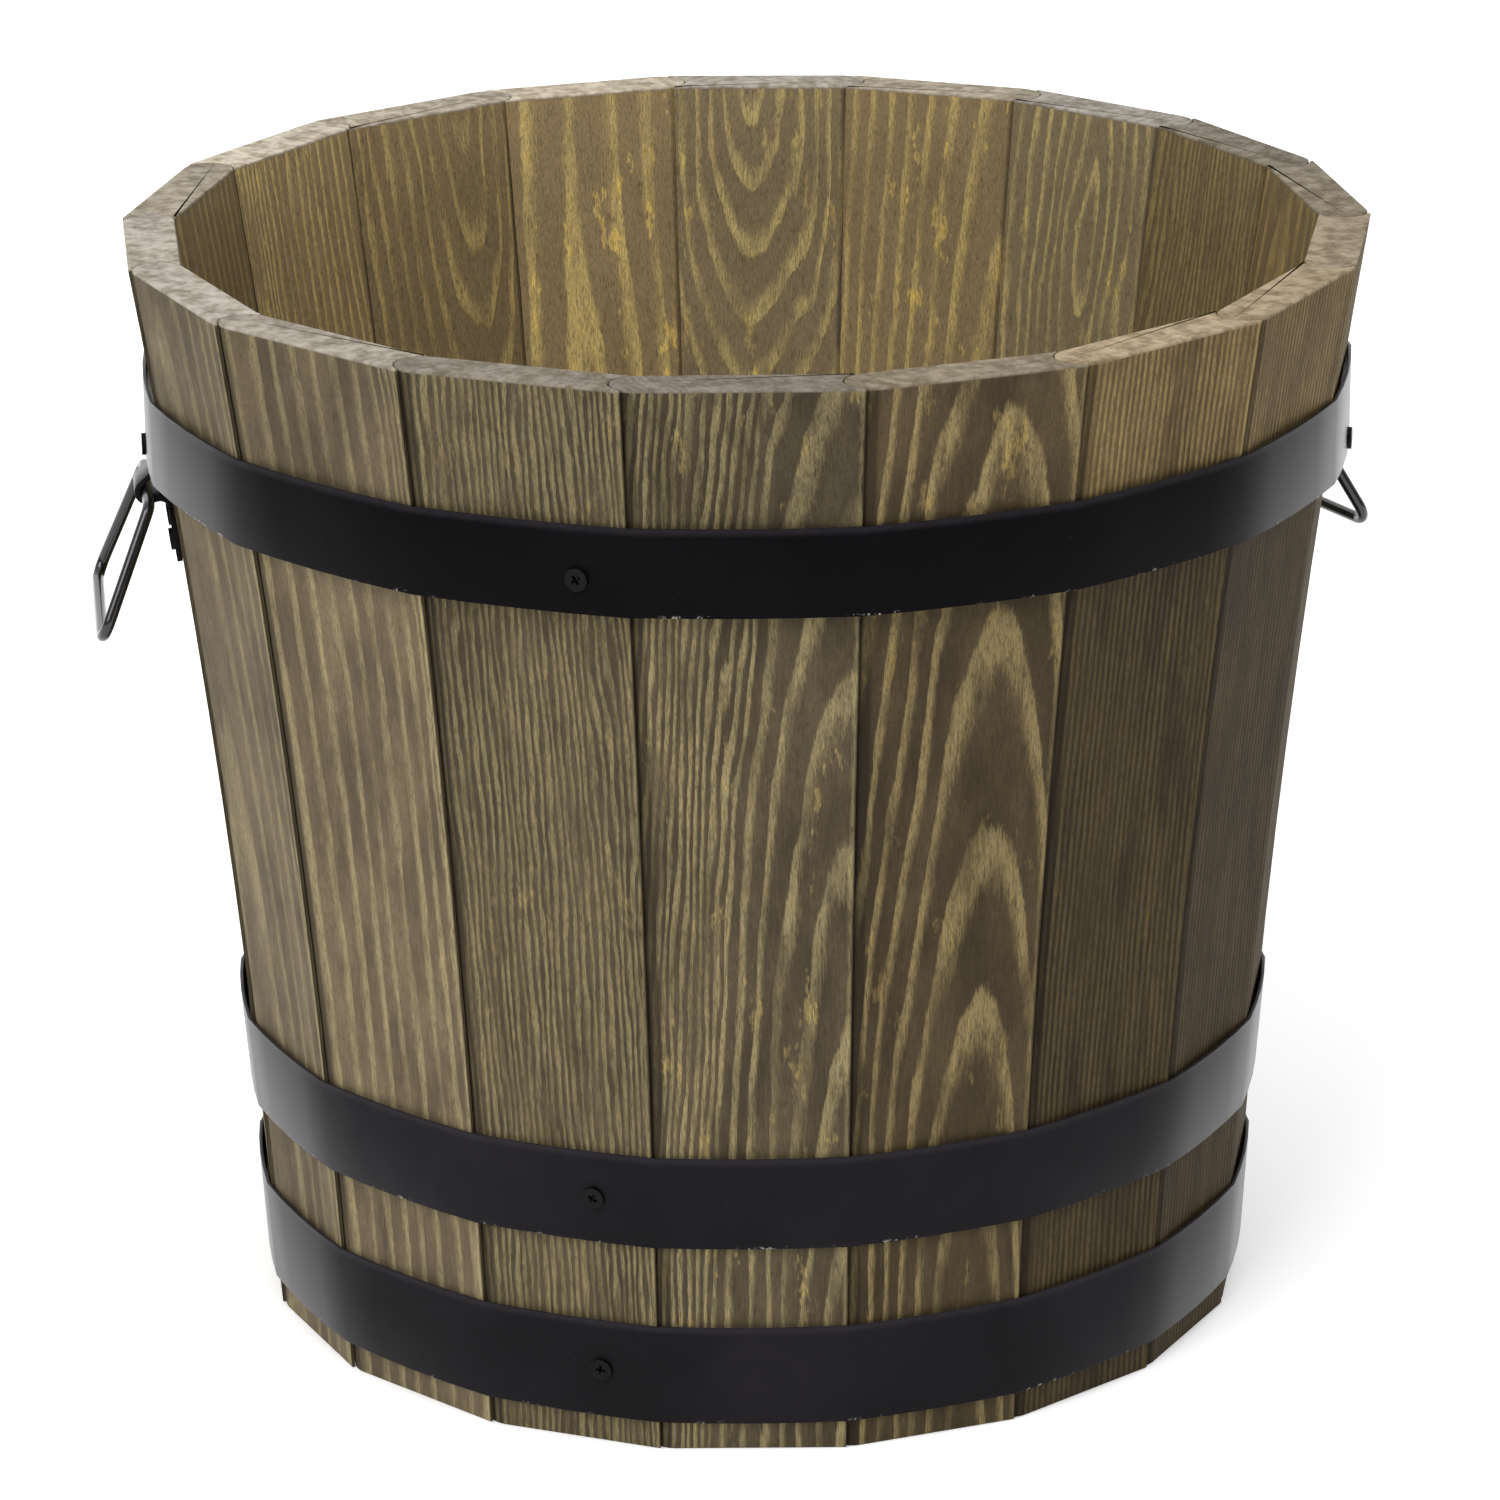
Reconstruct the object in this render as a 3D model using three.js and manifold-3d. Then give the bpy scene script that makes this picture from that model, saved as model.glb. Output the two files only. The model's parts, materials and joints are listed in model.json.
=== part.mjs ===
// Wooden barrel planter: a flared ring of bead-and-cove staves held by three steel hoops, with a
// slatted base let into the staves and a drop bail in a bent strap bracket on each side.
// Millimetres, +Z up, origin on the floor at the planter's axis, front towards -Y.

import * as THREE from 'three';
import { mergeVertices } from 'three/addons/utils/BufferGeometryUtils.js';
import Module from 'manifold-3d';

// ---- Driving dimensions ----

// Wall: radii run to the outside corners between staves, which stand on the floor at z = 0.
const HEIGHT = 401;
const RIM_RADIUS = 225;
const FOOT_RADIUS = 182.5;
const HOLLOW = 5.3; // how far the wall bends in from a straight cone at mid height
const STAVE_THICKNESS = 18.5;
const BEAD_INSET = 5.5; // from the joint to the centre of the half-round edge
const STAVE_RIM_WIDTHS = [72, 81, 87, 80, 81, 79, 81, 79, 74, 79, 78, 75, 75, 73, 74, 79, 78, 80];
const FIRST_JOINT_DEG = 177.3;

// Base: boards in a groove round the inside, with battens screwed on underneath.
const BASE_UNDERSIDE = 26;
const BOARD_THICKNESS = 15;
const BOARD_COUNT = 4;
const DRAIN_GAP = 6;
const GROOVE_DEPTH = 6;
const BATTEN_WIDTH = 38;
const BATTEN_THICKNESS = 15;
const BATTEN_SPACING = 170; // between the centre lines of the two battens
const BATTEN_END_GAP = 2;
const BATTEN_SCREW_MARGIN = 12; // from a batten's end to its last screw, at the least

// Hoops: bands that touch the flared wall at their top edge. The top one stands upright, so that
// the brackets go behind it, and the lower two lean in with the wall.
const HOOP_THICKNESS = 1.2;
const HOOP_BOW = 0.53; // between stave corners: 0 is straight from corner to corner, 1 is round
const LAP_LENGTH = 46; // where a band's two ends overlap
const TOP_HOOP_BOTTOM = 320.8;
const TOP_HOOP_WIDTH = 30.9;
const MIDDLE_HOOP_BOTTOM = 80.1;
const MIDDLE_HOOP_WIDTH = 34.7;
const BOTTOM_HOOP_BOTTOM = 11.3;
const BOTTOM_HOOP_WIDTH = 37.5;

// Pan-head wood screws.
const SCREW_HEAD_RADIUS = 4;
const SCREW_HEAD_HEIGHT = 2.2;
const HEAD_CROWN_RADIUS = 2.8; // where the head's rounded side meets its flatter crown
const HEAD_CROWN_HEIGHT = 2;
const HEAD_SIDE_HEIGHT = 1;
const SCREW_SHANK_RADIUS = 1.9;
const SCREW_BITE = 9; // length of shank in the wood

// Bails: rod bent to a trapezoid, its two ends meeting in the bracket's eye.
const ROD_RADIUS = 2.35;
const BAIL_TOP_HALF_WIDTH = 28;
const BAIL_BOTTOM_HALF_WIDTH = 40.5;
const BAIL_DROP = 49;
const BAIL_TOP_BEND = 4;
const BAIL_BOTTOM_BEND = 6.4;
const ROD_END_GAP = 0.4;

// Brackets: one bent strap, with a wide leaf below the eye and a narrow one behind the hoop.
const STRAP_THICKNESS = 2;
const STRAP_HALF_WIDTH = 9;
const LEAF_HALF_WIDTH = 22;
const LEAF_BOTTOM_DROP = 22.4; // from the bail's pivot down to the wide leaf's lower edge
const LEAF_TOP_DROP = 6.4; // from the pivot down to the wide leaf's upper edge
const LEAF_BEND_DROP = 1.3; // from the pivot down to the bend where the strap leaves the wall
const RETURN_BEND_RISE = 10.6; // from the pivot up to the bend where it comes back to the wall
const STRAP_TOP_RISE = 28; // from the pivot up to the end of the narrow leaf
const STRAP_BEND_RADIUS = 4;
const EYE_REACH = 8.9; // from the wall to the pivot
const LEAF_SCREW_DROP = 15.9;
const LEAF_SCREW_OFFSET = 15;

// Where the two handles are: which stave, how far along it, how far their pivot is below the top
// hoop, and how far the bail leans out.
const LEFT_HANDLE = { name: 'left', stave: 0, along: 0, pivotDrop: 10.1, leanDeg: 22.2 };
const RIGHT_HANDLE = { name: 'right', stave: 10, along: -15, pivotDrop: 15.5, leanDeg: 27.2 };

// Hoop screws: which stave, how far along it, how high above the band's lower edge.
const LAP_STAVE = 13;
const LAP_SCREW_OFFSET = 13;
const TOP_SCREW_RISE = 5.4;
const TOP_FRONT_SCREW = { stave: 3, along: 22, rise: 12.2 };
const TOP_RIGHT_SCREW = { stave: 8, along: 4, rise: TOP_SCREW_RISE };
const LOWER_FRONT_SCREW = { stave: 3, along: 12.5 };
const LOWER_RIGHT_SCREW = { stave: 9, along: 0 };
const LOWER_LEFT_SCREW = { stave: 17, along: 0 };

// Clearances
const JOINT_GAP = 0.3; // bead to cove
const SEAT_GAP = 0.3; // a piece to what it rests on
const BASE_GAP = 0.4; // base to the bottom of its groove
const SHANK_GAP = 0.25; // screw to its hole
const EYE_GAP = 0.3; // rod to its bracket's eye

// Fineness of the facets
const WALL_STEPS = 8;
const EDGE_FACETS = 6; // round a stave's bead or cove
const BOARD_END_FACETS = 8;
const HOOP_FACETS_PER_STAVE = 4;
const GROOVE_SEGMENTS = 72;
const SCREW_SEGMENTS = 8;
const HOLE_SEGMENTS = 8;
const ROD_SIDES = 8;
const ROD_STEPS = 52;
const BEND_FACETS = 4;
const EYE_FACETS = 8;

const CUT_MARGIN = 5; // how far a cutting body runs past what it cuts

// ---- Materials ----

const stainedPine = new THREE.MeshStandardMaterial({ color: 0x786850, roughness: 0.7, metalness: 0 });
const rawPine = new THREE.MeshStandardMaterial({ color: 0x8d7650, roughness: 0.8, metalness: 0 });
const blackBand = new THREE.MeshStandardMaterial({ color: 0x1e1d20, roughness: 0.4, metalness: 0.3 });
const blackRod = new THREE.MeshStandardMaterial({ color: 0x151416, roughness: 0.2, metalness: 0.3 });

// ---- Joining and cutting closed meshes ----

const wasm = await Module();
wasm.setup();

// Corner numbers of the triangles that have three different corners
function realTriangles(index) {
  const kept = [];
  for (let i = 0; i < index.length; i += 3) {
    const [a, b, c] = [index[i], index[i + 1], index[i + 2]];
    if (a !== b && b !== c && c !== a) {
      kept.push(a, b, c);
    }
  }
  return kept;
}

function toSolid(geometry) {
  const bare = geometry.clone();
  bare.deleteAttribute('normal');
  bare.deleteAttribute('uv');
  const welded = mergeVertices(bare);
  const mesh = new wasm.Mesh({
    numProp: 3,
    vertProperties: Float32Array.from(welded.attributes.position.array),
    triVerts: Uint32Array.from(realTriangles(welded.index.array)),
  });
  return new wasm.Manifold(mesh);
}

function toGeometry(solid) {
  const mesh = solid.getMesh();
  const geometry = new THREE.BufferGeometry();
  geometry.setAttribute('position', new THREE.BufferAttribute(mesh.vertProperties, 3));
  geometry.setIndex(new THREE.BufferAttribute(mesh.triVerts, 1));
  geometry.computeVertexNormals();
  return geometry;
}

// The geometry with each cutting geometry taken out of it
function cut(geometry, cutters) {
  const solid = cutters.reduce((left, cutter) => left.subtract(toSolid(cutter)), toSolid(geometry));
  return toGeometry(solid);
}

// ---- Points and arcs in a plane ----

const radians = THREE.MathUtils.degToRad;
const ORIGIN = new THREE.Vector2();

function polar(radius, angle) {
  return new THREE.Vector2(radius * Math.cos(angle), radius * Math.sin(angle));
}

// An arc that goes round its centre from one angle to another, clockwise where the second is less
function arc(centre, radius, from, to) {
  return new THREE.EllipseCurve(centre.x, centre.y, radius, radius, from, to, to < from);
}

// ---- Wall and ring of staves ----

// Distance from the axis to the outside corners between staves
function cornerRadius(z) {
  const share = z / HEIGHT;
  const cone = FOOT_RADIUS + (RIM_RADIUS - FOOT_RADIUS) * share;
  return cone - 4 * HOLLOW * share * (1 - share);
}

// Each stave's half angle at the axis and the direction it faces, going round from the first joint
function layOutStaves() {
  const total = STAVE_RIM_WIDTHS.reduce((sum, width) => sum + width, 0);
  let joint = radians(FIRST_JOINT_DEG);
  return STAVE_RIM_WIDTHS.map((width) => {
    const halfAngle = Math.PI * width / total;
    const facing = joint + halfAngle;
    joint += 2 * halfAngle;
    return { halfAngle, facing };
  });
}

const staves = layOutStaves();

// Distance from the axis to a stave's flat outer face
function wallFace(stave, z) {
  return cornerRadius(z) * Math.cos(stave.halfAngle);
}

// Angle by which the wall leans out from upright
function wallLean(stave, z) {
  const share = z / HEIGHT;
  const cornerSlope = (RIM_RADIUS - FOOT_RADIUS - 4 * HOLLOW * (1 - 2 * share)) / HEIGHT;
  return Math.atan(cornerSlope * Math.cos(stave.halfAngle));
}

// Centre of a stave's half-round edge, in that stave's own frame, at the rim
function beadCentre(stave) {
  const x = RIM_RADIUS * Math.cos(stave.halfAngle) - STAVE_THICKNESS / 2;
  const y = BEAD_INSET - RIM_RADIUS * Math.sin(stave.halfAngle);
  return new THREE.Vector2(x, y);
}

// A stave's section at the rim: x points out of the planter, y runs along the face. The edge at
// -y is a half-round bead, the edge at +y a cove that clears the next stave's bead.
function staveSection(stave, next) {
  const outerX = RIM_RADIUS * Math.cos(stave.halfAngle);
  const innerX = outerX - STAVE_THICKNESS;
  const bead = beadCentre(stave);
  const turn = stave.halfAngle + next.halfAngle;
  const cove = beadCentre(next).rotateAround(ORIGIN, turn);
  const coveRadius = STAVE_THICKNESS / 2 + JOINT_GAP;

  // Where the cove meets the joint plane, as distances from the axis along that plane
  const alongJoint = cove.x * Math.cos(stave.halfAngle) + cove.y * Math.sin(stave.halfAngle);
  const offJoint = cove.y * Math.cos(stave.halfAngle) - cove.x * Math.sin(stave.halfAngle);
  const halfChord = Math.sqrt(coveRadius ** 2 - offJoint ** 2);
  const outerEnd = polar(alongJoint + halfChord, stave.halfAngle).sub(cove).angle();

  // The cove ends on the inner face, or on the joint plane where that comes first
  const innerCorner = polar(innerX / Math.cos(stave.halfAngle), stave.halfAngle);
  const endsOnJoint = alongJoint - halfChord > innerCorner.length();
  const faceEnd = Math.PI + Math.acos((cove.x - innerX) / coveRadius);
  const jointEnd = polar(alongJoint - halfChord, stave.halfAngle).sub(cove).angle();

  return new THREE.Shape([
    new THREE.Vector2(outerX, outerX * Math.tan(stave.halfAngle)),
    ...arc(cove, coveRadius, outerEnd, endsOnJoint ? jointEnd : faceEnd).getPoints(EDGE_FACETS),
    ...(endsOnJoint ? [innerCorner] : []),
    ...arc(bead, STAVE_THICKNESS / 2, Math.PI, 2 * Math.PI).getPoints(EDGE_FACETS),
  ]);
}

// The section carried down the wall: each edge slides in along its own joint plane
function staveBlank(stave, next) {
  const blank = new THREE.ExtrudeGeometry(staveSection(stave, next), {
    depth: HEIGHT,
    steps: WALL_STEPS,
    bevelEnabled: false,
  });
  const corner = blank.attributes.position;
  for (let i = 0; i < corner.count; i += 1) {
    const slide = RIM_RADIUS - cornerRadius(corner.getZ(i));
    const side = Math.sign(corner.getY(i));
    corner.setX(i, corner.getX(i) - slide * Math.cos(stave.halfAngle));
    corner.setY(i, corner.getY(i) - side * slide * Math.sin(stave.halfAngle));
  }
  return blank;
}

// ---- Base ----

const NOMINAL_HALF_ANGLE = Math.PI / STAVE_RIM_WIDTHS.length;
const baseInside = cornerRadius(BASE_UNDERSIDE) * Math.cos(NOMINAL_HALF_ANGLE) - STAVE_THICKNESS;
const baseRadius = baseInside + GROOVE_DEPTH - BASE_GAP;

// Ring of revolution about z between two radii and two heights
function ring(innerRadius, outerRadius, low, high) {
  const profile = [
    new THREE.Vector2(innerRadius, low),
    new THREE.Vector2(outerRadius, low),
    new THREE.Vector2(outerRadius, high),
    new THREE.Vector2(innerRadius, high),
    new THREE.Vector2(innerRadius, low),
  ];
  return new THREE.LatheGeometry(profile, GROOVE_SEGMENTS).rotateX(Math.PI / 2);
}

const baseGroove = ring(
  baseInside - CUT_MARGIN,
  baseInside + GROOVE_DEPTH,
  BASE_UNDERSIDE - SEAT_GAP,
  BASE_UNDERSIDE + BOARD_THICKNESS + SEAT_GAP,
);

const boardWidth = (2 * baseRadius - (BOARD_COUNT - 1) * DRAIN_GAP) / BOARD_COUNT;
const boardPitch = boardWidth + DRAIN_GAP;

function boardCentre(number) {
  return (number - (BOARD_COUNT - 1) / 2) * boardPitch;
}

// The disc's slice between two lines of constant x
function boardBlank(number) {
  const left = boardCentre(number) - boardWidth / 2;
  const right = boardCentre(number) + boardWidth / 2;
  const leftAngle = Math.acos(THREE.MathUtils.clamp(left / baseRadius, -1, 1));
  const rightAngle = Math.acos(THREE.MathUtils.clamp(right / baseRadius, -1, 1));
  const backEnd = arc(ORIGIN, baseRadius, rightAngle, leftAngle).getPoints(BOARD_END_FACETS);
  const frontEnd = arc(ORIGIN, baseRadius, -leftAngle, -rightAngle).getPoints(BOARD_END_FACETS);
  const outline = new THREE.Shape([...backEnd, ...frontEnd]);
  const blank = new THREE.ExtrudeGeometry(outline, { depth: BOARD_THICKNESS, bevelEnabled: false });
  return blank.translate(0, 0, BASE_UNDERSIDE);
}

const battenTop = BASE_UNDERSIDE - SEAT_GAP;
const battenUnderside = battenTop - BATTEN_THICKNESS;

function battenHalfLength(centreY) {
  const insideRadius = cornerRadius(battenUnderside) * Math.cos(NOMINAL_HALF_ANGLE) - STAVE_THICKNESS;
  const farEdge = Math.abs(centreY) + BATTEN_WIDTH / 2;
  return Math.sqrt(insideRadius ** 2 - farEdge ** 2) - BATTEN_END_GAP;
}

function battenBlank(centreY) {
  const blank = new THREE.BoxGeometry(2 * battenHalfLength(centreY), BATTEN_WIDTH, BATTEN_THICKNESS);
  return blank.translate(0, centreY, battenTop - BATTEN_THICKNESS / 2);
}

// ---- Screws ----

// A screw along +X: the underside of its head at x = 0, its shank running to -x
function screwBody(shankLength) {
  const tip = 2 * SCREW_SHANK_RADIUS;
  const profile = [
    new THREE.Vector2(0, -shankLength),
    new THREE.Vector2(SCREW_SHANK_RADIUS, tip - shankLength),
    new THREE.Vector2(SCREW_SHANK_RADIUS, 0),
    new THREE.Vector2(SCREW_HEAD_RADIUS, 0),
    new THREE.Vector2(SCREW_HEAD_RADIUS, HEAD_SIDE_HEIGHT),
    new THREE.Vector2(HEAD_CROWN_RADIUS, HEAD_CROWN_HEIGHT),
    new THREE.Vector2(0, SCREW_HEAD_HEIGHT),
  ];
  return new THREE.LatheGeometry(profile, SCREW_SEGMENTS).rotateZ(-Math.PI / 2);
}

// A screw's hole, its facets clear of the shank all round
function holeBody(length) {
  const radius = (SCREW_SHANK_RADIUS + SHANK_GAP) / Math.cos(Math.PI / HOLE_SEGMENTS);
  return new THREE.CylinderGeometry(radius, radius, length + 2 * CUT_MARGIN, HOLE_SEGMENTS)
    .rotateZ(Math.PI / 2)
    .translate(-length / 2 + CUT_MARGIN / 2, 0, 0);
}

// A screw's place: its seat in a stave's frame, its lean from level and its shank's length
function wallScrew(stave, seatX, along, height, lean, shankLength) {
  const matrix = new THREE.Matrix4().makeRotationZ(stave.facing)
    .multiply(new THREE.Matrix4().makeTranslation(seatX, along, height))
    .multiply(new THREE.Matrix4().makeRotationY(lean));
  return { stave, matrix, shankLength };
}

function holesFor(places) {
  return places.map((place) => holeBody(place.shankLength).applyMatrix4(place.matrix));
}

// A batten's screws, one up into each board, as near its middle as the batten's ends allow
function battenScrews(centreY) {
  const reach = battenHalfLength(centreY) - BATTEN_SCREW_MARGIN;
  const places = [];
  for (let i = 0; i < BOARD_COUNT; i += 1) {
    const x = THREE.MathUtils.clamp(boardCentre(i), -reach, reach);
    const matrix = new THREE.Matrix4().makeTranslation(x, centreY, battenUnderside - SEAT_GAP)
      .multiply(new THREE.Matrix4().makeRotationY(Math.PI / 2));
    places.push({ matrix, shankLength: BATTEN_THICKNESS + 2 * SEAT_GAP + SCREW_BITE });
  }
  return places;
}

const battens = [
  { name: 'batten_front', y: -BATTEN_SPACING / 2 },
  { name: 'batten_back', y: BATTEN_SPACING / 2 },
];

for (const batten of battens) {
  batten.screws = battenScrews(batten.y);
}

// ---- Hoops ----

// A band's inside radius at the stave corners at its top and bottom edges
function hoopTopInside(hoop) {
  return cornerRadius(hoop.bottom + hoop.width) + SEAT_GAP;
}

function hoopBottomInside(hoop) {
  return hoop.upright ? hoopTopInside(hoop) : cornerRadius(hoop.bottom) + SEAT_GAP;
}

// The same radius at a height between those edges
function hoopInside(hoop, z) {
  const share = (z - hoop.bottom) / hoop.width;
  return THREE.MathUtils.lerp(hoopBottomInside(hoop), hoopTopInside(hoop), share);
}

// A band's radius, at an angle from a stave's middle, when its radius at the corners is given
function bowedRadius(stave, angle, radiusAtCorners) {
  const straight = radiusAtCorners * Math.cos(stave.halfAngle) / Math.cos(angle);
  return straight + HOOP_BOW * (radiusAtCorners - straight);
}

// The ring of points that a band follows, when its radius at the corners is given
function hoopLoop(radiusAtCorners) {
  return staves.flatMap((stave) => {
    const points = [];
    for (let i = 0; i < HOOP_FACETS_PER_STAVE; i += 1) {
      const angle = stave.halfAngle * (2 * i / HOOP_FACETS_PER_STAVE - 1);
      points.push(polar(bowedRadius(stave, angle, radiusAtCorners), stave.facing + angle));
    }
    return points;
  });
}

// A band's outline, given at its top edge, carried down to its bottom edge
function carryDown(hoop, outline) {
  const blank = new THREE.ExtrudeGeometry(outline, { depth: hoop.width, bevelEnabled: false })
    .translate(0, 0, hoop.bottom);
  const corner = blank.attributes.position;
  for (let i = 0; i < corner.count; i += 1) {
    const share = hoopInside(hoop, corner.getZ(i)) / hoopTopInside(hoop);
    corner.setX(i, share * corner.getX(i));
    corner.setY(i, share * corner.getY(i));
  }
  return blank;
}

function bandBlank(hoop) {
  const inside = hoopTopInside(hoop);
  const outline = new THREE.Shape(hoopLoop(inside + HOOP_THICKNESS));
  outline.holes.push(new THREE.Path(hoopLoop(inside)));
  return carryDown(hoop, outline);
}

// The outer one of a band's overlapped ends, its inner side sunk half way into the band
function lapBlank(hoop) {
  const stave = staves[LAP_STAVE];
  const under = hoopTopInside(hoop) + HOOP_THICKNESS / 2;
  const over = hoopTopInside(hoop) + 2 * HOOP_THICKNESS;
  const halfAngle = Math.min(LAP_LENGTH / 2 / over, stave.halfAngle);
  const angles = [-halfAngle, -halfAngle / 2, 0, halfAngle / 2, halfAngle];
  const outerSide = angles.map((angle) => polar(bowedRadius(stave, angle, over), angle));
  const innerSide = angles.map((angle) => polar(bowedRadius(stave, angle, under), angle));
  const outline = new THREE.Shape([...outerSide, ...innerSide.reverse()]);
  return carryDown(hoop, outline).rotateZ(stave.facing);
}

// A screw through a band, some way along a stave and above the band's lower edge
function hoopScrew(hoop, spot) {
  const stave = staves[spot.stave];
  const height = hoop.bottom + spot.rise;
  const layers = spot.stave === LAP_STAVE ? 2 : 1;
  const atCorners = hoopInside(hoop, height) + layers * HOOP_THICKNESS;
  const angle = Math.atan(spot.along / atCorners);
  const lean = Math.atan((hoopTopInside(hoop) - hoopBottomInside(hoop)) / hoop.width);
  const seatX = bowedRadius(stave, angle, atCorners) * Math.cos(angle) + SEAT_GAP;
  const shankLength = seatX - wallFace(stave, height) + SCREW_BITE;
  return wallScrew(stave, seatX, spot.along, height, lean, shankLength);
}

function lapScrews(rise) {
  return [-LAP_SCREW_OFFSET, LAP_SCREW_OFFSET].map((along) => ({ stave: LAP_STAVE, along, rise }));
}

function lowerHoopSpots(width) {
  const sides = [LOWER_FRONT_SCREW, LOWER_RIGHT_SCREW, LOWER_LEFT_SCREW];
  return [...sides.map((spot) => ({ ...spot, rise: width / 2 })), ...lapScrews(width / 2)];
}

function handleHoopSpot(handle) {
  return { stave: handle.stave, along: handle.along, rise: TOP_SCREW_RISE };
}

const hoops = [
  {
    name: 'hoop_top',
    upright: true,
    bottom: TOP_HOOP_BOTTOM,
    width: TOP_HOOP_WIDTH,
    spots: [
      TOP_FRONT_SCREW,
      TOP_RIGHT_SCREW,
      handleHoopSpot(LEFT_HANDLE),
      handleHoopSpot(RIGHT_HANDLE),
      ...lapScrews(TOP_HOOP_WIDTH / 2),
    ],
  },
  {
    name: 'hoop_middle',
    bottom: MIDDLE_HOOP_BOTTOM,
    width: MIDDLE_HOOP_WIDTH,
    spots: lowerHoopSpots(MIDDLE_HOOP_WIDTH),
  },
  {
    name: 'hoop_bottom',
    bottom: BOTTOM_HOOP_BOTTOM,
    width: BOTTOM_HOOP_WIDTH,
    spots: lowerHoopSpots(BOTTOM_HOOP_WIDTH),
  },
];

for (const hoop of hoops) {
  hoop.screws = hoop.spots.map((spot) => hoopScrew(hoop, spot));
}

// ---- Brackets and bails ----

// The round bend at a corner of a line, between the points before and after it
function bendAt(before, corner, after, radius) {
  const into = corner.clone().sub(before).normalize();
  const out = after.clone().sub(corner).normalize();
  const turn = Math.atan2(into.cross(out), into.dot(out));
  const setBack = radius * Math.tan(Math.abs(turn) / 2);
  const toCentre = new THREE.Vector2(-into.y, into.x).multiplyScalar(Math.sign(turn) * radius);
  const centre = corner.clone().addScaledVector(into, -setBack).add(toCentre);
  const startAngle = Math.atan2(-toCentre.y, -toCentre.x);
  return arc(centre, radius, startAngle, startAngle + turn);
}

// Angle, seen from a circle's centre, at which a line from a point touches the circle
function touchAngle(point, centre, radius, side) {
  const toPoint = Math.atan2(point.y - centre.y, point.x - centre.x);
  return toPoint + side * Math.acos(radius / point.distanceTo(centre));
}

// Outline of a strip of even thickness along a line of points
function stripOutline(line, thickness) {
  const sides = [-1, 1].map((side) => line.map((point, i) => {
    const before = line[Math.max(i - 1, 0)];
    const after = line[Math.min(i + 1, line.length - 1)];
    const into = point.clone().sub(before).normalize();
    const out = after.clone().sub(point).normalize();
    const along = into.add(out).normalize();
    const ends = i === 0 || i === line.length - 1;
    const stretch = ends ? 1 : 1 / along.dot(out);
    const across = new THREE.Vector2(-along.y, along.x);
    return point.clone().addScaledVector(across, side * stretch * thickness / 2);
  }));
  return new THREE.Shape([...sides[0], ...sides[1].reverse()]);
}

// A bracket's measures in its stave's frame: x out of the wall, y up
function bracketPoints(handle) {
  const stave = staves[handle.stave];
  const offWall = SEAT_GAP + STRAP_THICKNESS / 2;
  const onWall = (height) => new THREE.Vector2(wallFace(stave, height) + offWall, height);
  return {
    stave,
    pivot: new THREE.Vector2(wallFace(stave, handle.pivotHeight) + EYE_REACH, handle.pivotHeight),
    bottom: onWall(handle.pivotHeight - LEAF_BOTTOM_DROP),
    outBend: onWall(handle.pivotHeight - LEAF_BEND_DROP),
    inBend: onWall(handle.pivotHeight + RETURN_BEND_RISE),
    top: onWall(handle.pivotHeight + STRAP_TOP_RISE),
  };
}

// The strap's middle line: up the wall, out round the rod, back to the wall and up behind the hoop
function strapLine(points) {
  const radius = ROD_RADIUS + EYE_GAP + STRAP_THICKNESS / 2;
  const start = touchAngle(points.outBend, points.pivot, radius, 1);
  const end = touchAngle(points.inBend, points.pivot, radius, -1);
  const eye = arc(points.pivot, radius, start, end);
  const outBend = bendAt(points.bottom, points.outBend, eye.getPoint(0), STRAP_BEND_RADIUS);
  const inBend = bendAt(eye.getPoint(1), points.inBend, points.top, STRAP_BEND_RADIUS);
  return [
    points.bottom,
    ...outBend.getPoints(BEND_FACETS),
    ...eye.getPoints(EYE_FACETS),
    ...inBend.getPoints(BEND_FACETS),
    points.top,
  ];
}

function leafScrews(handle) {
  const stave = staves[handle.stave];
  const height = handle.pivotHeight - LEAF_SCREW_DROP;
  const lean = wallLean(stave, height);
  const seatX = wallFace(stave, height) + (2 * SEAT_GAP + STRAP_THICKNESS) / Math.cos(lean);
  const shankLength = STRAP_THICKNESS + 2 * SEAT_GAP + SCREW_BITE;
  return [-LEAF_SCREW_OFFSET, LEAF_SCREW_OFFSET].map(
    (offset) => wallScrew(stave, seatX, handle.along + offset, height, lean, shankLength),
  );
}

// Boxes that leave the strap narrow above its wide leaf
function sideCutters(handle, points) {
  const width = LEAF_HALF_WIDTH - STRAP_HALF_WIDTH + CUT_MARGIN;
  const depth = 2 * (EYE_REACH + 2 * STRAP_THICKNESS + CUT_MARGIN);
  const low = handle.pivotHeight - LEAF_TOP_DROP;
  const high = handle.pivotHeight + STRAP_TOP_RISE + CUT_MARGIN;
  return [-1, 1].map((side) => new THREE.BoxGeometry(depth, width, high - low)
    .translate(points.pivot.x, side * (STRAP_HALF_WIDTH + width / 2), (low + high) / 2));
}

function bracketBlank(handle) {
  const points = bracketPoints(handle);
  const outline = stripOutline(strapLine(points), STRAP_THICKNESS);
  const wide = new THREE.ExtrudeGeometry(outline, { depth: 2 * LEAF_HALF_WIDTH, bevelEnabled: false })
    .rotateX(Math.PI / 2)
    .translate(0, LEAF_HALF_WIDTH, 0);
  return cut(wide, sideCutters(handle, points))
    .translate(0, handle.along, 0)
    .rotateZ(points.stave.facing);
}

// The bail's rod, in its own plane: y along the pivot, z up, from one rod end round to the other
class RodLine extends THREE.Curve {
  constructor(flatLine) {
    super();
    this.flatLine = flatLine;
  }

  getPoint(share, target = new THREE.Vector3()) {
    const point = this.flatLine.getPoint(share);
    return target.set(0, point.x, point.y);
  }
}

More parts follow.
